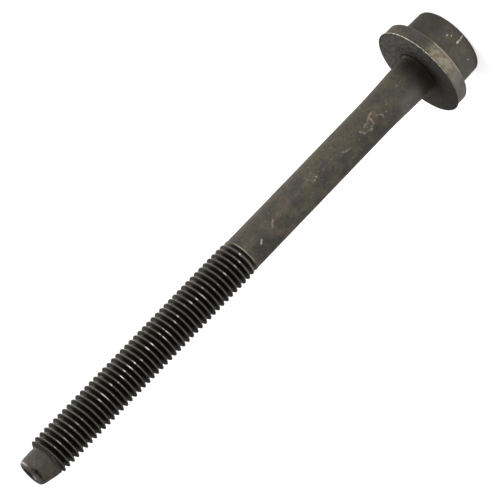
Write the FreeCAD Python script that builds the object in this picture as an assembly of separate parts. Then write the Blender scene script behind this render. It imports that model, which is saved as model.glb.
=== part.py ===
import FreeCAD, Part
import math
import os

# Cylinder head bolt, one forged and thread-rolled piece of steel.
# It stands on the top of its head: Z = 0 is the head's top face and +Z runs
# along the shank to the point. All sizes in mm, all angles in degrees.

# --- Head: round drum on an integral flange ---
HEAD_HEIGHT = 13.4          # top of the drum to the bearing face
DRUM_TOP_DIAMETER = 21.8
DRUM_FOOT_DIAMETER = 22.3   # the drum widens by its forging draft
DRUM_EDGE_RADIUS = 1.1      # rounding of the top edge
DRUM_EDGE_STEPS = 3         # the rounding is struck in this many flats
FLANGE_DIAMETER = 28.4      # the rim above the lip
FLANGE_HEIGHT = 4.3
FLANGE_BEVEL = 0.45         # broken edge of the rim on the drum's side
LIP_DIAMETER = 29.2         # sharp outer edge of the bearing face
LIP_HEIGHT = 0.45           # bevel from the lip in to the rim

# --- Twelve-point drive socket in the top of the head ---
SOCKET_POINTS = 12
SOCKET_ACROSS_POINTS = 12.0
SOCKET_POINT_ANGLE = 90.0   # included angle of each point
SOCKET_DEPTH = 7.6
SOCKET_MOUTH_DIAMETER = 13.0
SOCKET_MOUTH_SLOPE = 45.0   # countersink of the mouth
SOCKET_DRILL_ANGLE = 118.0  # the blind end is a drill point

# --- Shank ---
COLLAR_DIAMETER = 11.9      # thicker fitting length under the head
COLLAR_LENGTH = 6.0
TAPER_LENGTH = 10.5         # long taper from the collar to the shank
HEAD_FILLET_RADIUS = 0.8    # fillet under the head
SHANK_DIAMETER = 11.0
SHANK_LENGTH = 71.7         # bearing face to the first trace of thread

# --- Thread, M12 x 1.75, right-hand, rolled on the shank ---
THREAD_DIAMETER = 11.93     # over the crests
THREAD_PITCH = 1.75
THREAD_LENGTH = 80.5        # kept to whole turns
THREAD_DEPTH = 1.05
THREAD_ANGLE = 60.0         # included angle of the groove
GROOVE_FLOOR = 0.32         # flat at the bottom of the groove
FADE_IN_TURNS = 4.0         # the thread rises out of the shank over these
FADE_OUT_TURNS = 0.5        # the groove runs out on the point over these
THREAD_START_ANGLE = 313.0  # where the first turn starts, round from +X
CHAMFER_ANGLE = 60.0        # slope that cuts the last crests off
CHORDS_PER_TURN = 20

# --- Point ---
POINT_FOOT_DIAMETER = 9.7
POINT_SKEW = 0.47           # the last turn runs out on one side of the foot
POINT_END_DIAMETER = 8.3
POINT_LENGTH = 5.7
POINT_BEVEL = 0.75          # broken edge round the end
CUP_DIAMETER = 6.0          # shallow cup that rolling leaves in the end
CUP_DEPTH = 0.5

# --- Worked out from the sizes above ---
BEARING_Z = HEAD_HEIGHT
FLANGE_Z = BEARING_Z - FLANGE_HEIGHT
TAPER_Z = BEARING_Z + COLLAR_LENGTH
SHANK_Z = TAPER_Z + TAPER_LENGTH
THREAD_Z = BEARING_Z + SHANK_LENGTH
TURNS = round(THREAD_LENGTH / THREAD_PITCH)
POINT_Z = THREAD_Z + TURNS * THREAD_PITCH
TIP_Z = POINT_Z + POINT_LENGTH
CREST_RADIUS = THREAD_DIAMETER / 2
ROOT_RADIUS = CREST_RADIUS - THREAD_DEPTH

ORIGIN = FreeCAD.Vector(0, 0, 0)
AXIS = FreeCAD.Vector(0, 0, 1)


def at(radius, z, angle=0.0):
    """The point at a radius and height, some degrees round from +X."""
    turn = math.radians(angle)
    return FreeCAD.Vector(radius * math.cos(turn), radius * math.sin(turn), z)


def ease(share):
    """Rises smoothly from 0 to 1 as the share does."""
    share = min(max(share, 0.0), 1.0)
    return share * share * (3 - 2 * share)


def arc_at_corner(before, corner, after, radius):
    """The arc of a given radius that rounds a corner of an outline."""
    back = (before - corner).normalize()
    ahead = (after - corner).normalize()
    half = back.getAngle(ahead) / 2
    reach = radius / math.tan(half)
    centre = corner + (back + ahead).normalize() * (radius / math.sin(half))
    middle = centre + (corner - centre).normalize() * radius
    return Part.Arc(corner + back * reach, middle, corner + ahead * reach)


# --- Head, collar and shank, turned in one ---
def drum_edge():
    """The outline's points round the drum's top edge, from the face outwards."""
    middle = DRUM_TOP_DIAMETER / 2 - DRUM_EDGE_RADIUS
    steps = [90.0 * i / DRUM_EDGE_STEPS for i in range(DRUM_EDGE_STEPS + 1)]
    return [at(middle + DRUM_EDGE_RADIUS * math.sin(math.radians(step)),
               DRUM_EDGE_RADIUS * (1 - math.cos(math.radians(step)))) for step in steps]


def head_and_shank():
    rim = FLANGE_DIAMETER / 2
    collar = COLLAR_DIAMETER / 2
    shank = SHANK_DIAMETER / 2
    bearing = [at(LIP_DIAMETER / 2, BEARING_Z), at(collar, BEARING_Z), at(collar, TAPER_Z)]
    fillet = arc_at_corner(*bearing, HEAD_FILLET_RADIUS)
    outer = [ORIGIN] + drum_edge() + [
        at(DRUM_FOOT_DIAMETER / 2, FLANGE_Z),
        at(rim - FLANGE_BEVEL, FLANGE_Z),
        at(rim, FLANGE_Z + FLANGE_BEVEL),
        at(rim, BEARING_Z - LIP_HEIGHT),
        bearing[0],
        fillet.StartPoint,
    ]
    inner = [fillet.EndPoint, bearing[2], at(shank, SHANK_Z), at(shank, THREAD_Z),
             at(0, THREAD_Z), ORIGIN]
    edges = Part.makePolygon(outer).Edges + [fillet.toShape()] + Part.makePolygon(inner).Edges
    return Part.Face(Part.Wire(edges)).revolve(ORIGIN, AXIS, 360)


def drive_socket():
    """A star of twelve points, its countersunk mouth and its drilled end."""
    outer = SOCKET_ACROSS_POINTS / 2
    step = math.pi / SOCKET_POINTS
    lean = math.radians(SOCKET_POINT_ANGLE / 2)
    inner = outer * math.sin(lean) / math.sin(lean + step)
    corners = 2 * SOCKET_POINTS
    star = [at(inner if i % 2 else outer, 0, 360 * i / corners) for i in range(corners)]
    broached = Part.Face(Part.makePolygon(star + star[:1])).extrude(AXIS * SOCKET_DEPTH)
    mouth = SOCKET_MOUTH_DIAMETER / 2
    mouth_depth = (mouth - inner) * math.tan(math.radians(SOCKET_MOUTH_SLOPE))
    countersink = Part.makeCone(mouth, inner, mouth_depth)
    drill_depth = inner / math.tan(math.radians(SOCKET_DRILL_ANGLE / 2))
    drill_point = Part.makeCone(inner, 0, drill_depth, at(0, SOCKET_DEPTH))
    return [broached, countersink, drill_point]


# --- Thread: its groove's section is carried up the helix, chord by chord ---
def foot_radius(angle):
    """From the axis to the skewed circle of the point's foot."""
    turn = math.radians(angle)
    foot = POINT_FOOT_DIAMETER / 2
    return math.sqrt(foot ** 2 - (POINT_SKEW * math.sin(turn)) ** 2) - POINT_SKEW * math.cos(turn)


def crest_radius(z, angle):
    """The crests rise out of the shank and end on the point's chamfer."""
    shank = SHANK_DIAMETER / 2
    risen = ease((z - THREAD_Z) / (FADE_IN_TURNS * THREAD_PITCH))
    rising = shank + (CREST_RADIUS - shank) * risen
    foot = foot_radius(angle)
    chamfer = foot + (POINT_Z - z) * math.tan(math.radians(CHAMFER_ANGLE))
    return min(rising, chamfer)


def groove_section(chord):
    """Lower mouth, two floor corners and upper mouth of the groove at a chord's end."""
    turn = chord / CHORDS_PER_TURN
    angle = THREAD_START_ANGLE + 360 * turn
    z = THREAD_Z + turn * THREAD_PITCH
    depth_share = ease(turn / FADE_IN_TURNS) * ease((TURNS - turn) / FADE_OUT_TURNS)
    crest = crest_radius(z, angle)
    root = crest + (min(crest, ROOT_RADIUS) - crest) * depth_share
    half_floor = GROOVE_FLOOR / 2 * depth_share
    reach = math.tan(math.radians(THREAD_ANGLE / 2))
    section = []
    for side in (-1, 1):
        mouth_z = z + side * (half_floor + (crest - root) * reach)
        mouth = crest_radius(min(max(mouth_z, THREAD_Z), POINT_Z), angle)
        mouth_z = z + side * (half_floor + (mouth - root) * reach)
        pair = [at(mouth, mouth_z, angle), at(root, z + side * half_floor, angle)]
        section += pair if side < 0 else pair[::-1]
    return section


def flat_faces(near, far):
    """The faces between two stations of a strip, two where one would be warped."""
    corners = [near[0], far[0], far[1], near[1]]
    sides = [(corners[i] - corners[i - 1]).Length for i in range(4)]
    normal = (corners[1] - corners[0]).cross(corners[2] - corners[0])
    if min(sides) > 1e-6 and abs((corners[3] - corners[0]).dot(normal)) < 1e-7 * normal.Length:
        return [Part.Face(Part.makePolygon(corners + corners[:1]))]
    faces = []
    for half in (corners[:3], [corners[0]] + corners[2:]):
        if min((half[i] - half[i - 1]).Length for i in range(3)) > 1e-6:
            faces.append(Part.Face(Part.makePolygon(half + half[:1])))
    return faces


def threaded_length():
    """The skin of groove and ridge, closed by a flat at each end."""
    last = TURNS * CHORDS_PER_TURN
    angles = [THREAD_START_ANGLE + 360 * i / CHORDS_PER_TURN for i in range(CHORDS_PER_TURN)]
    lower = [at(SHANK_DIAMETER / 2, THREAD_Z, angle) for angle in angles]
    upper = [at(foot_radius(angle), POINT_Z, angle) for angle in angles]
    sections = [groove_section(chord) for chord in range(last + 1)]
    sections[0], sections[last] = [lower[0]] * 4, [upper[0]] * 4
    strips = [[section[i:i + 2] for section in sections] for i in range(3)]
    below = lower + [section[3] for section in sections]
    above = [section[0] for section in sections] + upper[1:] + upper[:1]
    strips.append(list(zip(below, above)))
    faces = [Part.Face(Part.makePolygon(ring + ring[:1])) for ring in (lower, upper)]
    for strip in strips:
        for near, far in zip(strip, strip[1:]):
            faces += flat_faces(near, far)
    skin = Part.makeShell(faces)
    skin.sewShape()
    return Part.makeSolid(skin)


# --- Point ---
def point():
    """The skewed taper of the point, its bevelled end and the cup in it."""
    end = POINT_END_DIAMETER / 2
    bevel_z = TIP_Z - POINT_BEVEL
    foot = Part.makeCircle(POINT_FOOT_DIAMETER / 2, FreeCAD.Vector(-POINT_SKEW, 0, POINT_Z))
    rings = [foot, Part.makeCircle(end, at(0, bevel_z))]
    taper = Part.makeLoft([Part.Wire(ring) for ring in rings], True, True)
    bevel = Part.makeCone(end, end - POINT_BEVEL, POINT_BEVEL, at(0, bevel_z))
    cup = CUP_DIAMETER / 2
    cup_radius = (cup * cup + CUP_DEPTH * CUP_DEPTH) / (2 * CUP_DEPTH)
    hollow = Part.makeSphere(cup_radius, at(0, TIP_Z - CUP_DEPTH + cup_radius))
    return taper.fuse(bevel).cut(hollow)


bolt = head_and_shank().cut(drive_socket()).removeSplitter()
bolt = bolt.fuse([threaded_length(), point()])

os.makedirs("parts", exist_ok=True)
bolt.exportStep("parts/head_bolt.step")
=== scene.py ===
import bpy
import math
from mathutils import Matrix, Vector


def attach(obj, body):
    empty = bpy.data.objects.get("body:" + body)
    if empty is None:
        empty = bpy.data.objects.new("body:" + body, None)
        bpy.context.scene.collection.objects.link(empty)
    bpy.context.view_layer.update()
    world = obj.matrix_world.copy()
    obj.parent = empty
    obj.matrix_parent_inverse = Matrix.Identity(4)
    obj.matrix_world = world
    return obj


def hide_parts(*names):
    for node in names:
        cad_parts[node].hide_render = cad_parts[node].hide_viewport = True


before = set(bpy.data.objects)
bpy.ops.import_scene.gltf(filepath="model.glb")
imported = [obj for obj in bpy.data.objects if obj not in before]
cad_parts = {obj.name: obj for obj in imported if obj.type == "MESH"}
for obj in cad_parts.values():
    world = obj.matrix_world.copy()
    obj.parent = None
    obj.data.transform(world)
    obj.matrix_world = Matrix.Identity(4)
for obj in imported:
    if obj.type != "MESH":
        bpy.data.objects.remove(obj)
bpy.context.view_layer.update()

MM = 0.001

# The head stands on the floor at Z = 0 and the point is up. Sizes are in mm, and angles in degrees.
SIDES = 96

SHANK_RADIUS = 5.5
SHANK_RINGS_Z = (60.0, 40.0)
COLLAR_RADIUS = 5.95
COLLAR_END_Z = 19.4
TAPER_MIDDLE_Z = 24.6
TAPER_END_Z = 29.9
FILLET = 0.8
FILLET_LEANS = range(0, 91, 15)

BEARING_Z = 13.4
BEARING_RINGS = (9.0, 12.5, 14.2, 14.5)
FLANGE_Z = 9.1
LIP_RADIUS = 14.6
RIM_RADIUS = 14.2
DRUM_FOOT_RADIUS = 11.14
DRUM_TOP_RADIUS = 10.9
DRUM_ROUNDING = 1.1
DRUM_ROUNDING_LEANS = range(5, 91, 14)

SOCKET_RADIUS = 6.0
SOCKET_DEPTH = 7.6
SOCKET_POINTS = 12
SOCKET_POINT_HALF_ANGLE = 45
COUNTERSINK_RADIUS = 4.9
COUNTERSINK_DEPTH = 1.6
DRILL_RADIUS = 4.88
DRILL_TIP = 3.0
CUTTER_OVERLAP = 1.0
DRILL_OVERLAP = 0.01

THREAD_Z = 85.1
PITCH = 1.75
TURNS = 46
LEAD_IN_TURNS = 2
POINT_Z = THREAD_Z + TURNS * PITCH
CUT_BEYOND = 0.2 * PITCH
CREST_RADIUS = 5.965
THREAD_DEPTH = 1.05
THREAD_PHASE = 313.0
FADE_IN_TURNS = 4.0
FADE_OUT_TURNS = 0.5
CHAMFER_DEGREES = 60

FOOT_RADIUS = 4.85
FOOT_SKEW = 0.47
SKEW_FADE = 1.3
TIP_Z = 171.295

# Outline of one thread from groove to groove: (share of the pitch, share of the depth)
THREAD_OUTLINE = [
    (0.000, 1.000), (0.045, 0.990), (0.080, 0.955), (0.115, 0.900),
    (0.405, 0.094), (0.425, 0.045), (0.445, 0.015), (0.470, 0.000),
    (0.530, 0.000), (0.555, 0.015), (0.575, 0.045), (0.595, 0.094),
    (0.885, 0.900), (0.920, 0.955), (0.955, 0.990), (1.000, 1.000),
]

# The point's cone: (share of its height, radius). Its end and cup: (radius, depth under the tip).
POINT_CONE = [(0.20, 4.80), (0.45, 4.62), (0.70, 4.44), (0.87, 4.25)]
POINT_END = [(4.05, 0.35), (3.85, 0.1), (3.55, 0.0), (3.15, 0.02), (2.7, 0.2), (1.8, 0.4), (0.8, 0.5)]

# How near two places have to be, in mm, to count as one.
SCREW_MERGE = 0.002
CUT_SNAP = 0.0001
RING_SNAP = 0.005
RING_MERGE = 0.16
SKIN_MERGE = 0.001

# Edges that turn less than this are shaded smooth.
SMOOTH_DEGREES = 35


def clear_selection():
    if bpy.context.object and bpy.context.object.mode == "EDIT":
        bpy.ops.object.mode_set(mode="OBJECT")
    bpy.ops.object.select_all(action="DESELECT")


def ease(share):
    share = min(max(share, 0.0), 1.0)
    return share * share * (3.0 - 2.0 * share)


def pick(piece, kind, test):
    """In edit mode, selects only the vertices that pass a test, or the edges whose ends both do."""
    bpy.ops.mesh.select_mode(type=kind)
    bpy.ops.mesh.select_all(action="DESELECT")
    bpy.ops.object.mode_set(mode="OBJECT")
    vertices = piece.data.vertices
    if kind == "EDGE":
        for edge in piece.data.edges:
            edge.select = all(test(vertices[i].co) for i in edge.vertices)
    else:
        for vertex in vertices:
            vertex.select = test(vertex.co)
    bpy.ops.object.mode_set(mode="EDIT")


def draw_ring(last, radius, z, x=0.0):
    """Extrudes the selected open ring to a new radius, height and place along X."""
    last_radius, last_z, last_x = last
    bpy.ops.mesh.extrude_edges_move()
    bpy.ops.transform.translate(value=((x - last_x) * MM, 0, (z - last_z) * MM))
    scale = radius / last_radius
    bpy.ops.transform.resize(value=(scale, scale, 1), center_override=(x * MM, 0, z * MM))
    return radius, z, x


def close_ring():
    """Closes the selected open ring onto its middle."""
    bpy.ops.mesh.extrude_edges_move()
    bpy.ops.mesh.merge(type="CENTER")


def roll_thread():
    """One outline, screwed up the axis, turned to its phase and faded at both ends."""
    clear_selection()
    bpy.ops.mesh.primitive_plane_add(size=PITCH * MM, location=(0, 0, 0))
    blank = bpy.context.object
    blank.name = "head_bolt_steel"
    bpy.ops.object.mode_set(mode="EDIT")
    bpy.ops.mesh.select_all(action="SELECT")
    bpy.ops.mesh.merge(type="CENTER")
    share, depth = THREAD_OUTLINE[0]
    first_z = THREAD_Z - LEAD_IN_TURNS * PITCH
    start = ((CREST_RADIUS - depth * THREAD_DEPTH) * MM, 0, first_z * MM)
    bpy.ops.transform.translate(value=start)
    for next_share, next_depth in THREAD_OUTLINE[1:]:
        step = ((depth - next_depth) * THREAD_DEPTH * MM, 0, (next_share - share) * PITCH * MM)
        bpy.ops.mesh.extrude_vertices_move(TRANSFORM_OT_translate={"value": step})
        share, depth = next_share, next_depth
    bpy.ops.object.mode_set(mode="OBJECT")
    screw = blank.modifiers.new("thread", "SCREW")
    screw.axis = "Z"
    screw.angle = 2 * math.pi
    screw.screw_offset = PITCH * MM
    screw.iterations = LEAD_IN_TURNS + TURNS + 1
    screw.steps = SIDES
    screw.render_steps = SIDES
    bpy.ops.object.modifier_apply(modifier=screw.name)
    bpy.ops.object.mode_set(mode="EDIT")
    bpy.ops.mesh.select_all(action="SELECT")
    bpy.ops.mesh.remove_doubles(threshold=SCREW_MERGE * MM)
    bpy.ops.object.mode_set(mode="OBJECT")
    turn = math.radians(THREAD_PHASE)
    for vertex in blank.data.vertices:
        x, y = vertex.co.x, vertex.co.y
        vertex.co.x = x * math.cos(turn) - y * math.sin(turn)
        vertex.co.y = x * math.sin(turn) + y * math.cos(turn)
    fade_thread(blank)
    return blank


def foot_radius(angle):
    """The point's foot is a circle set a little to -X."""
    across = math.sqrt(FOOT_RADIUS ** 2 - (FOOT_SKEW * math.sin(angle)) ** 2)
    return across - FOOT_SKEW * math.cos(angle)


def crest_radius(z, angle):
    """The crests rise out of the shank and end on the point's chamfer."""
    risen = ease((z - THREAD_Z) / (FADE_IN_TURNS * PITCH))
    rising = SHANK_RADIUS + (CREST_RADIUS - SHANK_RADIUS) * risen
    chamfer = foot_radius(angle) + max(POINT_Z - z, 0) * math.tan(math.radians(CHAMFER_DEGREES))
    return min(rising, chamfer)


def fade_thread(blank):
    """The grooves sink in as the crests rise, and the last one runs out on the foot."""
    for vertex in blank.data.vertices:
        x, y, z = vertex.co.x / MM, vertex.co.y / MM, vertex.co.z / MM
        radius = math.hypot(x, y)
        crest = crest_radius(z, math.atan2(y, x))
        sunk = ease((z - THREAD_Z) / (FADE_IN_TURNS * PITCH))
        sunk *= ease((POINT_Z - z) / (FADE_OUT_TURNS * PITCH))
        new_radius = crest + (min(crest, radius) - crest) * sunk
        vertex.co.x = x * new_radius / radius * MM
        vertex.co.y = y * new_radius / radius * MM


def cut_square(blank, z, keep_below):
    """Cuts the screwed skin square and leaves its new end ring selected."""
    bpy.ops.object.mode_set(mode="EDIT")
    bpy.ops.mesh.select_all(action="SELECT")
    bpy.ops.mesh.bisect(plane_co=(0, 0, z * MM), plane_no=(0, 0, 1),
                        clear_outer=keep_below, clear_inner=not keep_below,
                        threshold=CUT_SNAP * MM)
    pick(blank, "EDGE", lambda co: abs(co.z - z * MM) < RING_SNAP * MM)
    bpy.ops.mesh.remove_doubles(threshold=RING_MERGE * MM)
    pick(blank, "EDGE", lambda co: abs(co.z - z * MM) < RING_SNAP * MM)


def draw_point(blank):
    """Draws the point out of the thread's last ring, and skews it back to the axis."""
    start_z = POINT_Z + CUT_BEYOND
    cut_square(blank, start_z, keep_below=True)
    last = (FOOT_RADIUS, start_z, -FOOT_SKEW)
    for share, radius in POINT_CONE:
        z = start_z + (TIP_Z - start_z) * share
        last = draw_ring(last, radius, z, -FOOT_SKEW * (1 - share) ** SKEW_FADE)
    for radius, depth in POINT_END:
        last = draw_ring(last, radius, TIP_Z - depth)
    close_ring()


def quarter_round(middle_radius, middle_z, size, outward, leans):
    """Places on an arc that runs down from level, on its outward or its inward side."""
    side = size if outward else -size
    return [(middle_radius + side * math.cos(math.radians(lean)),
             middle_z - size * math.sin(math.radians(lean))) for lean in leans]


def draw_shank_and_head(blank):
    """Draws the shank and the head down from the thread's first ring."""
    start_z = THREAD_Z - CUT_BEYOND
    cut_square(blank, start_z, keep_below=False)
    shank = [(SHANK_RADIUS, z) for z in SHANK_RINGS_Z]
    taper = [
        (SHANK_RADIUS, TAPER_END_Z + 2), (SHANK_RADIUS + 0.02, TAPER_END_Z),
        (SHANK_RADIUS + 0.22, TAPER_MIDDLE_Z),
        (COLLAR_RADIUS - 0.02, COLLAR_END_Z + 0.5), (COLLAR_RADIUS, COLLAR_END_Z - 0.6),
    ]
    fillet = quarter_round(COLLAR_RADIUS + FILLET, BEARING_Z + FILLET, FILLET, False, FILLET_LEANS)
    bearing_face = [(radius, BEARING_Z) for radius in BEARING_RINGS]
    lip = [
        (LIP_RADIUS - 0.02, BEARING_Z - 0.03), (LIP_RADIUS, BEARING_Z - 0.08),
        (LIP_RADIUS - 0.04, BEARING_Z - 0.14),
    ]
    rim = [
        (RIM_RADIUS + 0.06, BEARING_Z - 0.42), (RIM_RADIUS, BEARING_Z - 0.52),
        (RIM_RADIUS, BEARING_Z - 0.7), (RIM_RADIUS, FLANGE_Z + 0.7),
    ]
    broken_edge = [
        (RIM_RADIUS - 0.01, FLANGE_Z + 0.5), (RIM_RADIUS - 0.07, FLANGE_Z + 0.32),
        (RIM_RADIUS - 0.2, FLANGE_Z + 0.14), (RIM_RADIUS - 0.4, FLANGE_Z + 0.03),
        (RIM_RADIUS - 0.6, FLANGE_Z),
    ]
    drum_foot = [
        (DRUM_FOOT_RADIUS + 0.86, FLANGE_Z), (DRUM_FOOT_RADIUS + 0.46, FLANGE_Z),
        (DRUM_FOOT_RADIUS + 0.18, FLANGE_Z - 0.05), (DRUM_FOOT_RADIUS + 0.04, FLANGE_Z - 0.18),
        (DRUM_FOOT_RADIUS, FLANGE_Z - 0.4),
    ]
    drum_top = [
        (DRUM_TOP_RADIUS + 0.005, DRUM_ROUNDING + 0.4),
        *quarter_round(DRUM_TOP_RADIUS - DRUM_ROUNDING, DRUM_ROUNDING, DRUM_ROUNDING, True,
                       DRUM_ROUNDING_LEANS),
        (SOCKET_RADIUS / 2, 0.0),
    ]
    last = (SHANK_RADIUS, start_z, 0.0)
    flange = bearing_face + lip + rim + broken_edge
    for radius, z in shank + taper + fillet + flange + drum_foot + drum_top:
        last = draw_ring(last, radius, z)
    close_ring()


def cut_away(blank, cutter):
    clear_selection()
    bpy.context.view_layer.objects.active = blank
    blank.select_set(True)
    cut = blank.modifiers.new("cut", "BOOLEAN")
    cut.operation = "DIFFERENCE"
    cut.solver = "EXACT"
    cut.object = cutter
    bpy.ops.object.modifier_apply(modifier=cut.name)
    bpy.data.objects.remove(cutter)


def star_cutter():
    """A broach with twelve points, from outside the head to the socket's depth."""
    clear_selection()
    bpy.ops.mesh.primitive_circle_add(vertices=2 * SOCKET_POINTS, radius=SOCKET_RADIUS * MM,
                                      fill_type="NGON", location=(0, 0, -CUTTER_OVERLAP * MM))
    cutter = bpy.context.object
    step = 180 / SOCKET_POINTS
    half = SOCKET_POINT_HALF_ANGLE
    notch = math.sin(math.radians(half)) / math.sin(math.radians(half + step))
    bpy.ops.object.mode_set(mode="EDIT")
    pick(cutter, "VERT", lambda co: round(math.degrees(math.atan2(co.x, co.y)) / step) % 2 == 1)
    bpy.ops.transform.resize(value=(notch, notch, 1), center_override=(0, 0, -CUTTER_OVERLAP * MM))
    bpy.ops.mesh.select_all(action="SELECT")
    depth = (0, 0, (CUTTER_OVERLAP + SOCKET_DEPTH) * MM)
    bpy.ops.mesh.extrude_region_move(TRANSFORM_OT_translate={"value": depth})
    bpy.ops.mesh.select_all(action="SELECT")
    bpy.ops.mesh.normals_make_consistent(inside=False)
    bpy.ops.object.mode_set(mode="OBJECT")
    return cutter


def cone_cutter(low_radius, low_z, high_radius, high_z):
    clear_selection()
    bpy.ops.mesh.primitive_cone_add(vertices=SIDES, radius1=low_radius * MM, radius2=high_radius * MM,
                                    depth=(high_z - low_z) * MM,
                                    location=(0, 0, (low_z + high_z) / 2 * MM))
    return bpy.context.object


def broach_socket(blank):
    """The drive socket: a twelve-point star, with a countersunk mouth and a drilled end."""
    cut_away(blank, star_cutter())
    mouth_radius = COUNTERSINK_RADIUS + COUNTERSINK_DEPTH + CUTTER_OVERLAP
    cut_away(blank, cone_cutter(mouth_radius, -CUTTER_OVERLAP, COUNTERSINK_RADIUS, COUNTERSINK_DEPTH))
    drill_z = SOCKET_DEPTH - DRILL_OVERLAP
    cut_away(blank, cone_cutter(DRILL_RADIUS, drill_z, 0, drill_z + DRILL_TIP))


def forge_bolt():
    """The point, the shank and the head are drawn out of the thread's two end rings."""
    blank = roll_thread()
    draw_point(blank)
    draw_shank_and_head(blank)
    bpy.ops.mesh.select_all(action="SELECT")
    bpy.ops.mesh.remove_doubles(threshold=SKIN_MERGE * MM)
    bpy.ops.mesh.normals_make_consistent(inside=False)
    bpy.ops.object.mode_set(mode="OBJECT")
    broach_socket(blank)
    clear_selection()
    blank.select_set(True)
    bpy.context.view_layer.objects.active = blank
    bpy.ops.object.shade_smooth_by_angle(angle=math.radians(SMOOTH_DEGREES))
    return blank


# Marks of handling: scuffs and streaks are strokes through their points, and nicks are single points.
# A point is (degrees round from the front towards +X, height in mm).
SHANK_SCUFFS = [
    [(3.9, 38.2), (4.7, 37.2), (5.0, 36.4)],
    [(3.8, 36.6), (11.6, 35.4), (17.8, 33.9), (14.5, 32.9), (6.0, 32.8), (-1.6, 33.2)],
    [(7.8, 35.2), (1.6, 35.3), (-6.1, 35.4), (-12.0, 35.7), (-11.6, 36.6)],
    [(1.4, 40.1), (-10.9, 39.4), (-13.9, 38.0), (-18.7, 36.9)],
    [(-4.3, 47.8), (-8.4, 46.8), (-11.2, 45.9)],
    [(-4.6, 32.6), (-11.7, 31.8), (-17.1, 32.0)],
    [(6.3, 75.8), (-6.1, 77.1)],
    [(-8.6, 82.0), (-17.7, 82.9)],
]
SHANK_STREAKS = [
    [(8.3, 60.8), (9.6, 64.6), (13.4, 68.2)],
    [(9.0, 74.6), (4.6, 73.2)],
    [(15.2, 79.2), (9.4, 78.4)],
]
SHANK_NICKS = [
    (-13.2, 41.9), (1.1, 29.0), (-11.5, 30.4), (9.5, 58.8), (2.3, 58.1), (-1.5, 60.0),
    (9.1, 56.5), (-7.9, 66.1), (17.4, 77.4), (-41.0, 63.4), (-34.2, 56.9), (14.4, 60.6),
]
BRIGHT_SCUFFS = [[(-10.2, 82.1), (-15.6, 82.7)]]
BRIGHT_NICKS = [(1.9, 58.3), (-1.2, 59.3)]
DRUM_SCUFFS = [[(-11.3, 3.4), (-11.1, 2.0), (-9.7, 0.6)]]
DRUM_NICKS = [(7.2, 3.9), (1.6, 3.2), (-43.5, 3.6)]
# Painted shadow on the point's bevel, as a stroke through these points.
BEVEL_SHADOW_POINTS = [(10, 170.9), (-1, 170.5), (-14, 170.6), (-30, 170.8), (-41, 171.0)]
STAIN_PLACE = (3.0, 34.5)

# Marks on the point's end, as (X, Y, depth under the tip) in mm.
KNOCK_PLACE = (2.9, -1.4, 0.0)
DENT_PLACE = (-1.43, 1.2, 0.45)

# The radius that the marks lie on, where it isn't the shank's, and how wide they are, in mm.
DRUM_MARKS_RADIUS = 11.05
BEVEL_SHADOW_RADIUS = 4.25
SCUFF_WIDTH = 0.45
STREAK_WIDTH = 1.1
BRIGHT_WIDTH = 0.42
DRUM_SCUFF_WIDTH = 0.42
NICK_WIDTH = 0.34
BEVEL_SHADOW_WIDTH = 0.75

# The share of a stroke's and of a nick's width that is marked in full.
STROKE_CORE = 0.15
NICK_CORE = 0.1

# Noises, as repeats to the metre, and how far they are moved to differ, in metres.
CLOUD_SCALE = 190.0
PATCH_SCALE = 300.0
RUB_SCALE = 330.0
PAINTED_GLINT_SCALE = 620.0
MOTTLE_SCALE = 900.0
WANDER_SCALE = 1300.0
SPECK_SCALE = 1500.0
GRAIN_SCALE = 3600.0
PATCH_SHIFT = (0.05, 0.02, 0.03)
SPECK_SHIFT = (0.02, 0.07, 0.01)

# How far marks stray from their line, how deep the bump goes and how far the turning tool went
# forward in a turn, in mm.
RAGGED_EDGE = 0.7
BUMP_HEIGHT = 0.03
TURNING_FEED = 0.22

# How strong the bump is, and how much the mottle and the turning marks add to the grain in it.
BUMP_STRENGTH = 0.35
MOTTLE_SHARE = 1.5
TURNED_SHARE = 0.25

# Turns up the thread, as turns_up_thread counts them: a band's two edges with their softness,
# or where a soft step starts and ends.
START_HIGHLIGHT_BAND = (4.48, 4.67, 0.06)
FIRST_GROOVE_BAND = (4.68, 5.12, 0.08)
OIL_AND_SHADE_STARTS = (4.62, 4.74)
FIRST_CREST_STARTS = (5.2, 5.3)
FIRST_CREST_ENDS = (8.0, 7.0)
LAST_GROOVE_ENDS = (48.6, 48.35)
PAINTED_GLINTS_DULLER = (34.0, 42.0)

# Sides of the bolt for painted light and shade, in degrees round from the front towards +X. The painted
# glints lie in evenly spaced bands round the bolt, their count and the side of one band given below. The
# rim's rubbed, highlighted stretch has a soft step at either end.
PAINTED_GLINT_BANDS = 3.0
PAINTED_GLINT_SIDE = 3.0
SHANK_PAINTED_SHADE_SIDE = -42
PAINTED_LIGHT_SIDE = -65
BEARING_PAINTED_SHADOW_SIDE = -8
LIP_HIGHLIGHT_SIDE = 22
DRUM_PAINTED_SHADE_SIDE = 50
FILLET_PAINTED_SHADE_SIDE = 70
RIM_HIGHLIGHT_STARTS = (16, -2)
RIM_HIGHLIGHT_ENDS = (-50, -14)

# Colours of the coat, of its wear and of painted light and shade, in linear red, green and blue.
EDGE_TINT = (0.62, 0.61, 0.61)
OLIVE = (0.090, 0.083, 0.060)
GREY = (0.080, 0.075, 0.068)
BROWN = (0.097, 0.080, 0.065)
# Dark mottle of the coat, and painted shade on the drum.
DARK_MOTTLE_AND_SHADE = (0.048, 0.044, 0.037)
# Painted shade on one side of the shank.
SHANK_PAINTED_SHADE = (0.052, 0.050, 0.0465)
PALE_SPECK = (0.25, 0.22, 0.165)
RUST_STAIN = (0.150, 0.104, 0.076)
SCUFF = (0.215, 0.180, 0.140)
BRIGHT_SCUFF = (0.42, 0.39, 0.35)
# Oil in the thread's grooves, with painted shade.
OIL_AND_PAINTED_SHADE = (0.013, 0.012, 0.0105)
# Painted shadow and shade round the foot of the shank.
PAINTED_SHADOW = (0.011, 0.0112, 0.009)
CREST = (0.130, 0.126, 0.120)
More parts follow.
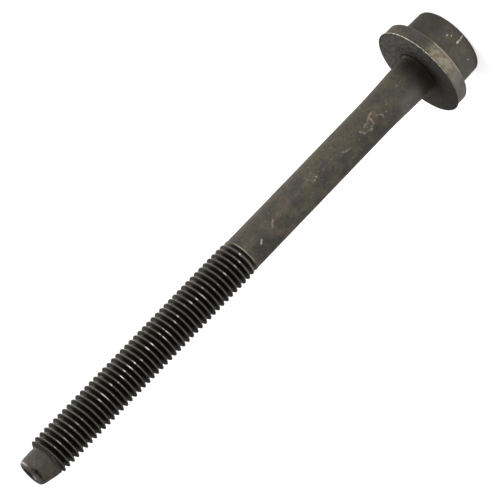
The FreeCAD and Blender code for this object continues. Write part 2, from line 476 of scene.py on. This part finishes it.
# Painted sheen on the crests at the sides.
CREST_PAINTED_SHEEN = (0.23, 0.225, 0.22)
# Painted highlight on the crest before the first groove.
PAINTED_START_HIGHLIGHT = (0.30, 0.28, 0.22)
# Painted glints on the crests.
PAINTED_GLINT = (0.60, 0.58, 0.55)
BARE = (0.72, 0.68, 0.60)
BEARING = (0.105, 0.102, 0.090)
# Lighter tone of the bearing face towards +X.
BEARING_LIGHTER = (0.175, 0.164, 0.149)
BEARING_DARK_SPOT = (0.020, 0.020, 0.017)
BEARING_PALE_SPOT = (0.25, 0.232, 0.208)
# Painted light on the rim and on the drum's and collar's sides towards -X.
RIM_PAINTED_LIGHT = (0.165, 0.156, 0.148)
# Rubbed bright rim, and a painted highlight on it.
RIM_WORN_AND_HIGHLIGHT = (0.29, 0.255, 0.185)
SIDES_PAINTED_LIGHT = (0.150, 0.144, 0.132)
# Painted highlight on the flange's far edge.
FAR_EDGE_HIGHLIGHT = (0.37, 0.34, 0.28)
# Rubbed bright lip, and a painted highlight on it.
LIP_WORN_AND_HIGHLIGHT = (0.78, 0.72, 0.61)
DRUM_EDGE = (0.050, 0.049, 0.066)
SOCKET_DIRT = (0.030, 0.028, 0.025)
# Painted shadow on the cone.
CONE_PAINTED_SHADOW = (0.050, 0.048, 0.043)
# Painted shadow on the point's bevel.
BEVEL_PAINTED_SHADOW = (0.020, 0.015, 0.011)
END_FACE = (0.21, 0.20, 0.185)
CUP_DARK_BLUISH = (0.042, 0.046, 0.054)
KNOCK = (0.36, 0.33, 0.32)


def node(tree, kind, **settings):
    made = tree.nodes.new(kind)
    for name, value in settings.items():
        setattr(made, name, value)
    return made


def feed(tree, value, socket):
    """Gives a socket a number, a colour, a vector or a link."""
    if isinstance(value, (int, float)):
        socket.default_value = value
    elif isinstance(value, tuple) and len(socket.default_value) == 4:
        socket.default_value = (*value, 1.0)
    elif isinstance(value, (tuple, Vector)):
        socket.default_value = tuple(value)
    else:
        tree.links.new(value, socket)


def math_node(tree, operation, a, b=None, clamp=False):
    made = node(tree, "ShaderNodeMath", operation=operation, use_clamp=clamp)
    feed(tree, a, made.inputs[0])
    if b is not None:
        feed(tree, b, made.inputs[1])
    return made.outputs[0]


def times(tree, *shares):
    product = shares[0]
    for share in shares[1:]:
        product = math_node(tree, "MULTIPLY", product, share)
    return product


def vector_node(tree, operation, a, b):
    made = node(tree, "ShaderNodeVectorMath", operation=operation)
    feed(tree, a, made.inputs[0])
    feed(tree, b, made.inputs["Scale" if operation == "SCALE" else 1])
    return made.outputs["Value" if operation in ("DOT_PRODUCT", "DISTANCE") else "Vector"]


def map_range(tree, value, low, high, to_low=0.0, to_high=1.0):
    """A soft step from one level at low to another at high."""
    made = node(tree, "ShaderNodeMapRange", interpolation_type="SMOOTHSTEP")
    feed(tree, value, made.inputs["Value"])
    made.inputs["From Min"].default_value = low
    made.inputs["From Max"].default_value = high
    made.inputs["To Min"].default_value = to_low
    made.inputs["To Max"].default_value = to_high
    return made.outputs["Result"]


def step_mm(tree, value, low, high):
    """A soft step from 0 to 1 between two places in mm."""
    return map_range(tree, value, low * MM, high * MM)


def window(tree, value, low, high, soft):
    """1 where a value lies between two others, with soft ends."""
    rising = map_range(tree, value, low, low + soft)
    falling = map_range(tree, value, high, high - soft)
    return times(tree, rising, falling)


def window_mm(tree, value, low, high, soft):
    return window(tree, value, low * MM, high * MM, soft * MM)


def facing(tree, spot, side, low, high, to_low=0.0, to_high=1.0):
    """A soft step in the cosine of the angle to one side of the bolt."""
    off = math_node(tree, "SUBTRACT", spot.angle, math.radians(side))
    return map_range(tree, math_node(tree, "COSINE", off), low, high, to_low, to_high)


def mix_color(tree, share, a, b):
    made = node(tree, "ShaderNodeMix", data_type="RGBA")
    feed(tree, share, made.inputs["Factor"])
    feed(tree, a, made.inputs[6])
    feed(tree, b, made.inputs[7])
    return made.outputs[2]


def mix_value(tree, share, a, b):
    made = node(tree, "ShaderNodeMix", data_type="FLOAT")
    feed(tree, share, made.inputs["Factor"])
    feed(tree, a, made.inputs[2])
    feed(tree, b, made.inputs[3])
    return made.outputs[0]


def noise(tree, vector, scale, detail, roughness=0.55, output="Fac"):
    made = node(tree, "ShaderNodeTexNoise")
    tree.links.new(vector, made.inputs["Vector"])
    made.inputs["Scale"].default_value = scale
    made.inputs["Detail"].default_value = detail
    made.inputs["Roughness"].default_value = roughness
    return made.outputs[output]


def on_surface(angle, z, radius):
    """The point at an angle from the front, a height and a radius in mm."""
    lean = math.radians(angle)
    return Vector((radius * math.sin(lean), -radius * math.cos(lean), z)) * MM


def on_end(x, y, depth):
    return Vector((x, y, TIP_Z - depth)) * MM


def near_stroke(tree, place, start, end, width):
    """1 on the line between two points and close to it, 0 at a width from it."""
    run = end - start
    from_start = vector_node(tree, "SUBTRACT", place, start)
    along = vector_node(tree, "DOT_PRODUCT", from_start, run / run.length_squared)
    along = math_node(tree, "ADD", along, 0.0, clamp=True)
    foot = vector_node(tree, "SCALE", run, along)
    away = vector_node(tree, "DISTANCE", from_start, foot)
    return step_mm(tree, away, width, STROKE_CORE * width)


def handling_marks(tree, place, scuffs, nicks, radius, width):
    """All the strokes and nicks at one radius as one mask."""
    mask = None
    for points in scuffs:
        spots = [on_surface(angle, z, radius) for angle, z in points]
        for start, end in zip(spots, spots[1:]):
            stroke = near_stroke(tree, place, start, end, width)
            mask = stroke if mask is None else math_node(tree, "MAXIMUM", mask, stroke)
    for angle, z in nicks:
        away = vector_node(tree, "DISTANCE", place, on_surface(angle, z, radius))
        nick = step_mm(tree, away, NICK_WIDTH, NICK_CORE * NICK_WIDTH)
        mask = math_node(tree, "MAXIMUM", mask, nick)
    return mask


class Spot:
    """Where a point of the surface lies, and the noises that break up the layers there."""

    def __init__(self, tree):
        place = node(tree, "ShaderNodeTexCoord").outputs["Object"]
        apart = node(tree, "ShaderNodeSeparateXYZ")
        tree.links.new(place, apart.inputs[0])
        x, y, self.z = apart.outputs
        self.place, self.x, self.y = place, x, y
        squares = math_node(tree, "ADD", times(tree, x, x), times(tree, y, y))
        self.radius = math_node(tree, "SQRT", squares)
        self.angle = math_node(tree, "ARCTAN2", x, times(tree, y, -1.0))
        moved = vector_node(tree, "ADD", place, PATCH_SHIFT)
        self.cloud = noise(tree, place, CLOUD_SCALE, detail=3.0)
        self.patch = noise(tree, moved, PATCH_SCALE, detail=3.0)
        self.mottle = noise(tree, place, MOTTLE_SCALE, detail=3.0, roughness=0.6)
        self.grain = noise(tree, place, GRAIN_SCALE, detail=2.0)
        moved = vector_node(tree, "ADD", place, SPECK_SHIFT)
        self.speck = noise(tree, moved, SPECK_SCALE, detail=2.0, roughness=0.7)
        wander = noise(tree, place, WANDER_SCALE, detail=2.0, roughness=0.5, output="Color")
        warp = vector_node(tree, "SUBTRACT", wander, (0.5, 0.5, 0.5))
        warp = vector_node(tree, "SCALE", warp, RAGGED_EDGE * MM)
        self.ragged = vector_node(tree, "ADD", place, warp)


class Finish:
    """Colour and roughness of a surface, laid down layer over layer."""

    def __init__(self, tree, color, rough):
        self.tree = tree
        self.color = color
        self.rough = rough

    def lay(self, share, color, rough=None, strength=None):
        """Covers what lies below by a share, which strength makes smaller."""
        if strength is not None:
            share = times(self.tree, share, strength)
        self.color = mix_color(self.tree, share, self.color, color)
        if rough is not None:
            self.rough = mix_value(self.tree, share, self.rough, rough)


def phosphate_coat(tree, spot):
    """Olive, grey and brown clouds with dark mottle, pale specks, a rust stain and painted shade on one
    side.
    """
    color = mix_color(tree, map_range(tree, spot.cloud, 0.42, 0.58), OLIVE, GREY)
    coat = Finish(tree, color, map_range(tree, spot.cloud, 0.35, 0.65, 0.56, 0.68))
    coat.lay(map_range(tree, spot.patch, 0.50, 0.64), BROWN)
    coat.lay(map_range(tree, spot.mottle, 0.56, 0.30, 0.0, 0.48), DARK_MOTTLE_AND_SHADE)
    stain = vector_node(tree, "DISTANCE", spot.ragged, on_surface(*STAIN_PLACE, SHANK_RADIUS))
    stained = times(tree, step_mm(tree, stain, 3.4, 0.8), map_range(tree, spot.mottle, 0.35, 0.6))
    coat.lay(stained, RUST_STAIN, strength=0.55)
    on_shank = times(tree, step_mm(tree, spot.z, TAPER_END_Z + 0.1, TAPER_END_Z + 6.1),
                     step_mm(tree, spot.z, THREAD_Z + 2.4, THREAD_Z - 0.1))
    # Painted shade: one side of the shank, towards -X, is darkened in clouds.
    shaded = times(tree, on_shank, facing(tree, spot, SHANK_PAINTED_SHADE_SIDE, 0.72, 0.98),
                   map_range(tree, spot.cloud, 0.36, 0.54, 0.15, 0.55))
    coat.lay(shaded, SHANK_PAINTED_SHADE)
    coat.lay(map_range(tree, spot.speck, 0.62, 0.74, 0.0, 0.6), PALE_SPECK)
    return coat


def turns_up_thread(tree, spot):
    """Turns climbed up the thread: whole numbers in the grooves, halves on the crests."""
    turns_to_phase = (90.0 + THREAD_PHASE) / 360.0
    first_turn = THREAD_Z / PITCH - LEAD_IN_TURNS - turns_to_phase
    turns = math_node(tree, "SUBTRACT", times(tree, spot.z, 1.0 / (PITCH * MM)),
                      times(tree, spot.angle, 0.5 / math.pi))
    return math_node(tree, "SUBTRACT", turns, first_turn)


def wear_on_thread(tree, coat, spot):
    """Oil with painted shade darkens the grooves, and the crests are rubbed bright in broken dashes, with
    painted sheen, a painted highlight and painted glints.
    """
    turns_up = turns_up_thread(tree, spot)
    share = math_node(tree, "FRACT", turns_up)
    off_crest = times(tree, math_node(tree, "ABSOLUTE", math_node(tree, "SUBTRACT", share, 0.5)), 2.0)
    before_point = map_range(tree, turns_up, *LAST_GROOVE_ENDS)
    in_thread = times(tree, step_mm(tree, spot.z, THREAD_Z + 1.2, THREAD_Z + 4.0), before_point)
    groove = step_mm(tree, spot.radius, CREST_RADIUS - 0.10, CREST_RADIUS - 0.70)
    near_thread = times(tree, map_range(tree, turns_up, *OIL_AND_SHADE_STARTS), before_point)
    bottom = times(tree, map_range(tree, off_crest, 0.45, 0.8), near_thread)
    first_groove = window(tree, turns_up, *FIRST_GROOVE_BAND)
    bottom = math_node(tree, "MAXIMUM", bottom, first_groove)
    oil_and_shade = math_node(tree, "MAXIMUM", times(tree, groove, in_thread), bottom)
    # Oil with painted shade in the grooves: strongest where they face the front, weaker at the sides.
    sideways = math_node(tree, "ABSOLUTE", math_node(tree, "SINE", spot.angle))
    frontal = map_range(tree, sideways, 0.68, 0.98, 1.0, 0.25)
    coat.lay(times(tree, oil_and_shade, frontal), OIL_AND_PAINTED_SHADE, rough=0.5)

    crest = step_mm(tree, spot.radius, CREST_RADIUS - 0.10, CREST_RADIUS - 0.02)
    first_crest = times(tree, map_range(tree, turns_up, *FIRST_CREST_STARTS),
                        map_range(tree, turns_up, *FIRST_CREST_ENDS),
                        map_range(tree, off_crest, 0.34, 0.14))
    crest = math_node(tree, "MAXIMUM", times(tree, crest, in_thread), first_crest)
    rubbed = noise(tree, spot.place, RUB_SCALE, detail=2.0)
    coat.lay(times(tree, crest, map_range(tree, rubbed, 0.3, 0.6, 0.4, 1.0)), CREST, rough=0.48)
    # Painted sheen: the crests are lighter where they are seen edge-on at the sides.
    edge_on_sheen = map_range(tree, frontal, 0.7, 0.25)
    coat.lay(times(tree, crest, edge_on_sheen), CREST_PAINTED_SHEEN, strength=0.7)

    # Painted highlight: a pale line at the front, on the crest before the first groove.
    start_highlight = times(tree, window(tree, turns_up, *START_HIGHLIGHT_BAND),
                       map_range(tree, spot.mottle, 0.36, 0.52, 0.35, 1.0),
                       facing(tree, spot, 0, 0.6, 0.95, 0.15, 1.0))
    coat.lay(start_highlight, PAINTED_START_HIGHLIGHT, rough=0.45)

    # Painted glints: bright, smooth dashes on the crests in bands round the bolt, duller towards the
    # point.
    round_bolt = math_node(tree, "SUBTRACT", spot.angle, math.radians(PAINTED_GLINT_SIDE))
    banded = math_node(tree, "COSINE", times(tree, round_bolt, PAINTED_GLINT_BANDS))
    sparse = noise(tree, spot.place, PAINTED_GLINT_SCALE, detail=1.0)
    glints = times(tree, crest, map_range(tree, banded, 0.55, 0.95), map_range(tree, sparse, 0.53, 0.60),
                   map_range(tree, turns_up, *PAINTED_GLINTS_DULLER, 1.0, 0.35))
    coat.lay(glints, PAINTED_GLINT, rough=0.24)


def wear_on_bearing(tree, coat, spot):
    """The bearing face gets lighter towards +X, painted shadow darkens it round the collar at the front,
    and painted shade darkens the collar's foot and the fillet.
    """
    under = times(tree, window_mm(tree, spot.z, BEARING_Z - 0.04, BEARING_Z + 0.6, 0.03),
                  step_mm(tree, spot.radius, COLLAR_RADIUS + 0.15, COLLAR_RADIUS + 0.95))
    coat.lay(under, BEARING, rough=0.7)
    # The bearing face gets lighter towards +X, in patches.
    lighter_side = times(tree, under, step_mm(tree, spot.x, -10.0, 12.0),
                    map_range(tree, spot.patch, 0.36, 0.60, 0.5, 1.0))
    coat.lay(lighter_side, BEARING_LIGHTER, rough=0.66)
    dark_spots = times(tree, under, map_range(tree, spot.mottle, 0.52, 0.34))
    coat.lay(dark_spots, BEARING_DARK_SPOT, rough=0.6, strength=0.45)
    pale_spots = times(tree, lighter_side, map_range(tree, spot.mottle, 0.46, 0.60))
    coat.lay(pale_spots, BEARING_PALE_SPOT, strength=0.5)

    # Painted shadow of the shank on the bearing face, round the collar at the front.
    frontal = facing(tree, spot, BEARING_PAINTED_SHADOW_SIDE, -0.2, 1.0, 0.35, 1.0)
    shank_shadow_on_bearing = times(tree, under, frontal,
                  step_mm(tree, spot.radius, COLLAR_RADIUS + 5.85, COLLAR_RADIUS + 0.25))
    coat.lay(shank_shadow_on_bearing, PAINTED_SHADOW, rough=0.6, strength=0.6)
    # Painted shade on the collar's foot, at the front.
    collar = times(tree, step_mm(tree, spot.z, COLLAR_END_Z + 3.6, BEARING_Z + 1.6),
                   step_mm(tree, spot.radius, COLLAR_RADIUS + 1.15, COLLAR_RADIUS + 0.15),
                   step_mm(tree, spot.z, BEARING_Z - 0.6, BEARING_Z - 0.2))
    coat.lay(times(tree, collar, frontal), PAINTED_SHADOW, rough=0.6, strength=0.88)
    # Painted shade on the fillet, stronger towards +X.
    fillet = times(tree, window_mm(tree, spot.radius, COLLAR_RADIUS + 0.05, COLLAR_RADIUS + 0.95, 0.2),
                   window_mm(tree, spot.z, BEARING_Z - 0.2, BEARING_Z + 1.1, 0.3),
                   facing(tree, spot, FILLET_PAINTED_SHADE_SIDE, 0.2, 0.9, 0.35, 0.8))
    coat.lay(fillet, PAINTED_SHADOW, rough=0.6)


def wear_on_flange(tree, coat, spot):
    """Painted light makes the rim and the sides lighter towards -X. The rim's front and lip are rubbed
    bright and carry painted highlights, and its far edge has a painted highlight.
    """
    rim = times(tree, step_mm(tree, spot.radius, RIM_RADIUS - 0.3, RIM_RADIUS - 0.05),
                window_mm(tree, spot.z, FLANGE_Z, BEARING_Z - 0.45, 0.1))
    # Painted light: the rim, the drum's side and the collar's taper are lighter towards -X.
    painted_light = facing(tree, spot, PAINTED_LIGHT_SIDE, 0.5, 0.95)
    coat.lay(times(tree, rim, painted_light), RIM_PAINTED_LIGHT, strength=0.65)
    sides = math_node(tree, "MAXIMUM", window_mm(tree, spot.z, 1.5, FLANGE_Z - 1.1, 1.0),
                      window_mm(tree, spot.z, COLLAR_END_Z - 1.9, TAPER_END_Z - 1.9, 2.5))
    coat.lay(times(tree, painted_light, sides), SIDES_PAINTED_LIGHT, strength=0.45)

    broken = map_range(tree, spot.mottle, 0.32, 0.55, 0.35, 1.0)
    # The rim's front, a little towards -X, is rubbed bright and rusty, and its brightness is also a
    # painted highlight.
    towards = times(tree, map_range(tree, spot.angle, *map(math.radians, RIM_HIGHLIGHT_STARTS)),
                    map_range(tree, spot.angle, *map(math.radians, RIM_HIGHLIGHT_ENDS)))
    worn_and_highlight = times(tree, rim, towards)
    coat.lay(times(tree, worn_and_highlight, broken), RIM_WORN_AND_HIGHLIGHT, rough=0.5, strength=0.75)
    rusty = times(tree, worn_and_highlight, map_range(tree, spot.patch, 0.50, 0.62))
    coat.lay(rusty, RUST_STAIN, rough=0.55, strength=0.5)
    # Painted highlight along the flange's far edge, strongest below the rim's bright front.
    far_edge_highlight = times(tree, step_mm(tree, spot.radius, RIM_RADIUS - 0.8, RIM_RADIUS - 0.3),
                     window_mm(tree, spot.z, FLANGE_Z - 0.05, FLANGE_Z + 0.5, 0.08),
                     map_range(tree, towards, 0.0, 0.5, 0.12, 0.85))
    coat.lay(far_edge_highlight, FAR_EDGE_HIGHLIGHT, rough=0.45)
    # The lip is rubbed bright, and a painted highlight makes it strongest a little towards +X.
    lip = times(tree, step_mm(tree, spot.radius, LIP_RADIUS - 0.28, LIP_RADIUS - 0.12),
                window_mm(tree, spot.z, BEARING_Z - 0.35, BEARING_Z + 0.2, 0.05),
                broken, facing(tree, spot, LIP_HIGHLIGHT_SIDE, 0.60, 0.90, 0.2, 1.0))
    coat.lay(lip, LIP_WORN_AND_HIGHLIGHT, rough=0.38)


def wear_on_drum(tree, coat, spot):
    """Painted shade darkens the drum towards +X, its rounded edge is bluish and its socket is dirty."""
    # Painted shade: the drum is darkened on its side towards +X.
    shaded = times(tree, window_mm(tree, spot.z, 0.0, FLANGE_Z, 0.4),
                   facing(tree, spot, DRUM_PAINTED_SHADE_SIDE, 0.8, 0.97))
    coat.lay(shaded, DARK_MOTTLE_AND_SHADE, strength=0.6)
    edge = times(tree, step_mm(tree, spot.z, DRUM_ROUNDING + 0.1, DRUM_ROUNDING - 0.8),
                 step_mm(tree, spot.radius, DRUM_TOP_RADIUS - 1.7, DRUM_TOP_RADIUS - 0.8))
    coat.lay(edge, DRUM_EDGE, rough=0.55, strength=0.75)
    socket = times(tree, step_mm(tree, spot.radius, SOCKET_RADIUS + 0.7, SOCKET_RADIUS + 0.2),
                   step_mm(tree, spot.z, SOCKET_DEPTH + 2.9, SOCKET_DEPTH + 2.4))
    coat.lay(socket, SOCKET_DIRT, rough=0.5, strength=0.8)


def wear_on_point(tree, coat, spot):
    """Painted shadow darkens the cone towards +X and its bevel at the front. Its end has a darker, bluish
    cup at the back, a knock and a bare dent.
    """
    # Painted shadow: the cone is darker towards +X.
    cone_shadow = times(tree, step_mm(tree, spot.z, POINT_Z + 0.4, POINT_Z + 1.2),
                      step_mm(tree, spot.x, 0.8, 4.0))
    coat.lay(cone_shadow, CONE_PAINTED_SHADOW, strength=0.5)
    # Painted shadow on the bevel at the point's end, from the front towards -X, broken by the mottle.
    bevel_shadow_broken = map_range(tree, spot.mottle, 0.60, 0.40, 0.45, 0.85)
    for start, end in zip(BEVEL_SHADOW_POINTS, BEVEL_SHADOW_POINTS[1:]):
        bevel_shadow = near_stroke(tree, spot.ragged, on_surface(*start, BEVEL_SHADOW_RADIUS),
                             on_surface(*end, BEVEL_SHADOW_RADIUS), BEVEL_SHADOW_WIDTH)
        coat.lay(times(tree, bevel_shadow, bevel_shadow_broken), BEVEL_PAINTED_SHADOW)

    at_end = step_mm(tree, spot.z, TIP_Z - 0.75, TIP_Z - 0.5)
    end_face = times(tree, at_end, step_mm(tree, spot.radius, 4.2, 4.0),
                     map_range(tree, spot.mottle, 0.36, 0.60, 0.25, 1.0))
    coat.lay(end_face, END_FACE, rough=0.46)
    # The back half of the end's cup is darker and bluish.
    cup = times(tree, at_end, step_mm(tree, spot.radius, 3.3, 2.8), step_mm(tree, spot.y, 0.6, 1.8))
    coat.lay(cup, CUP_DARK_BLUISH, rough=0.55, strength=0.85)
    knock = vector_node(tree, "DISTANCE", spot.ragged, on_end(*KNOCK_PLACE))
    coat.lay(times(tree, step_mm(tree, knock, 2.1, 0.8), at_end), KNOCK, rough=0.45, strength=0.8)
    dent = vector_node(tree, "DISTANCE", spot.ragged, on_end(*DENT_PLACE))
    coat.lay(step_mm(tree, dent, 1.2, 0.4), BARE, rough=0.4)


def wear_from_handling(tree, coat, spot):
    """Scuffs, streaks and nicks, where the photograph shows them."""
    broken = map_range(tree, spot.mottle, 0.34, 0.54, 0.15, 0.8)
    marks = handling_marks(tree, spot.ragged, SHANK_SCUFFS, SHANK_NICKS, SHANK_RADIUS, SCUFF_WIDTH)
    coat.lay(times(tree, marks, broken), SCUFF, rough=0.5)
    streaks = handling_marks(tree, spot.ragged, SHANK_STREAKS, [], SHANK_RADIUS, STREAK_WIDTH)
    coat.lay(times(tree, streaks, broken), RUST_STAIN, strength=0.5)
    bright = handling_marks(tree, spot.ragged, BRIGHT_SCUFFS, BRIGHT_NICKS, SHANK_RADIUS, BRIGHT_WIDTH)
    coat.lay(bright, BRIGHT_SCUFF, rough=0.5, strength=0.6)
    marks = handling_marks(tree, spot.ragged, DRUM_SCUFFS, DRUM_NICKS, DRUM_MARKS_RADIUS, DRUM_SCUFF_WIDTH)
    coat.lay(marks, BARE, rough=0.5, strength=0.62)


def fine_bump(tree, spot):
    """The coat's grain, and the turning marks on the bearing face."""
    height = math_node(tree, "ADD", spot.grain, times(tree, spot.mottle, MOTTLE_SHARE))
    turned = math_node(tree, "SINE", times(tree, spot.radius, 2.0 * math.pi / (TURNING_FEED * MM)))
    on_bearing = window_mm(tree, spot.z, BEARING_Z - 0.03, BEARING_Z + 0.05, 0.02)
    height = math_node(tree, "ADD", height, times(tree, turned, on_bearing, TURNED_SHARE))
    bump = node(tree, "ShaderNodeBump")
    bump.inputs["Strength"].default_value = BUMP_STRENGTH
    bump.inputs["Distance"].default_value = BUMP_HEIGHT * MM
    tree.links.new(height, bump.inputs["Height"])
    return bump.outputs[0]


def phosphated_steel():
    steel = bpy.data.materials.new("phosphated_steel")
    steel.use_nodes = True
    tree = steel.node_tree
    shader = tree.nodes["Principled BSDF"]
    shader.inputs["Metallic"].default_value = 1.0
    shader.inputs["Specular Tint"].default_value = (*EDGE_TINT, 1.0)
    spot = Spot(tree)
    coat = phosphate_coat(tree, spot)
    wear_on_thread(tree, coat, spot)
    wear_on_bearing(tree, coat, spot)
    wear_on_flange(tree, coat, spot)
    wear_on_drum(tree, coat, spot)
    wear_on_point(tree, coat, spot)
    wear_from_handling(tree, coat, spot)
    tree.links.new(coat.color, shader.inputs["Base Color"])
    tree.links.new(coat.rough, shader.inputs["Roughness"])
    tree.links.new(fine_bump(tree, spot), shader.inputs["Normal"])
    return steel


bolt = forge_bolt()
bolt.data.materials.clear()
bolt.data.materials.append(phosphated_steel())
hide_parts("head_bolt")
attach(bolt, "root")

# Studio and camera. Sizes and places are in metres, and the lens and its sensor in mm.
WHITE = (1, 1, 1, 1)
FLOOR_SIZE = 6.0
FLOOR_COLOR = (0.8, 0.8, 0.8)
FLOOR_ROUGHNESS = 0.9
FLOOR_GLOW = 0.62
ROOM_LIGHT = 0.6
ROOM_SHEEN = 0.35
ROOM_SHEEN_RISE = (0.05, 0.35)

ELEVATION = math.radians(16.913)
BOLT_LEAN = math.radians(46.11)
CAMERA_DISTANCE = 0.8544
AIM_Z = 0.08471
AIM_ASIDE = 0.000596
FOCAL_LENGTH = 226.2
SENSOR_WIDTH = 36.0
CLIP_START = 0.01


def white_for_view(tree):
    """1 for the camera's, the reflected and the transmitted rays, 0 for the rest."""
    rays = node(tree, "ShaderNodeLightPath")
    seen = math_node(tree, "MAXIMUM", rays.outputs["Is Camera Ray"], rays.outputs["Is Glossy Ray"])
    return math_node(tree, "MAXIMUM", seen, rays.outputs["Is Transmission Ray"])


def floor_paint():
    paint = bpy.data.materials.new("white_sweep")
    paint.use_nodes = True
    tree = paint.node_tree
    shader = tree.nodes["Principled BSDF"]
    shader.inputs["Base Color"].default_value = (*FLOOR_COLOR, 1)
    shader.inputs["Roughness"].default_value = FLOOR_ROUGHNESS
    shader.inputs["Specular IOR Level"].default_value = 0.0
    shader.inputs["Emission Color"].default_value = WHITE
    glow = math_node(tree, "MULTIPLY", white_for_view(tree), FLOOR_GLOW)
    tree.links.new(glow, shader.inputs["Emission Strength"])
    return paint


def studio_room():
    """White for the view, and for reflections near the floor, with a dimmer room higher up."""
    world = bpy.data.worlds.new("studio")
    world.use_nodes = True
    tree = world.node_tree
    back = tree.nodes["Background"]
    back.inputs["Color"].default_value = WHITE
    apart = node(tree, "ShaderNodeSeparateXYZ")
    tree.links.new(node(tree, "ShaderNodeTexCoord").outputs["Generated"], apart.inputs[0])
    rays = node(tree, "ShaderNodeLightPath")
    sheen = map_range(tree, apart.outputs[2], *ROOM_SHEEN_RISE, 1.0, ROOM_SHEEN)
    level = mix_value(tree, rays.outputs["Is Glossy Ray"], ROOM_LIGHT, sheen)
    seen = math_node(tree, "MAXIMUM", rays.outputs["Is Camera Ray"], rays.outputs["Is Transmission Ray"])
    tree.links.new(mix_value(tree, seen, level, 1.0), back.inputs["Strength"])
    return world


def soft_box(name, place, aim, size, power):
    light = bpy.data.lights.new(name, "AREA")
    light.shape = "RECTANGLE"
    light.size, light.size_y = size
    light.energy = power
    lamp = bpy.data.objects.new(name, light)
    bpy.context.scene.collection.objects.link(lamp)
    lamp.location = place
    lamp.visible_camera = False
    lamp.rotation_euler = (Vector(aim) - Vector(place)).to_track_quat("-Z", "Y").to_euler()


def place_camera():
    """Looks down at the bolt with the head to the upper right and the point to the lower left."""
    look = Vector((0, math.cos(ELEVATION), -math.sin(ELEVATION)))
    head_ward = Vector((0, -math.sin(ELEVATION), -math.cos(ELEVATION)))
    side_ward = Vector((-1, 0, 0))
    right = math.cos(BOLT_LEAN) * head_ward + math.sin(BOLT_LEAN) * side_ward
    up = math.sin(BOLT_LEAN) * head_ward - math.cos(BOLT_LEAN) * side_ward
    target = Vector((0, 0, AIM_Z)) + AIM_ASIDE * side_ward
    lens = bpy.data.cameras.new("camera")
    lens.lens = FOCAL_LENGTH
    lens.sensor_width = SENSOR_WIDTH
    lens.clip_start = CLIP_START
    camera = bpy.data.objects.new("camera", lens)
    bpy.context.scene.collection.objects.link(camera)
    camera.location = target - CAMERA_DISTANCE * look
    camera.rotation_mode = "QUATERNION"
    camera.rotation_quaternion = Matrix((right, up, -look)).transposed().to_quaternion()
    bpy.context.scene.camera = camera


clear_selection()
bpy.ops.mesh.primitive_plane_add(size=FLOOR_SIZE, location=(0, 0, 0))
floor = bpy.context.object
floor.name = "floor"
floor.data.materials.append(floor_paint())

bpy.context.scene.world = studio_room()
soft_box("key_box", place=(0.25, -0.86, 0.18), aim=(0, 0, 0.085), size=(0.34, 0.30), power=1.6)
soft_box("side_box", place=(0.62, -0.05, 0.46), aim=(0, 0, 0.11), size=(0.6, 0.4), power=2.9)
soft_box("head_box", place=(-0.24, -0.12, 0.03), aim=(0, 0, 0.015), size=(0.10, 0.10), power=0.08)
soft_box("back_box", place=(0.50, 0.42, 0.14), aim=(0, 0, 0.11), size=(0.5, 0.3), power=2.6)
place_camera()
bpy.context.scene.view_settings.view_transform = "Standard"
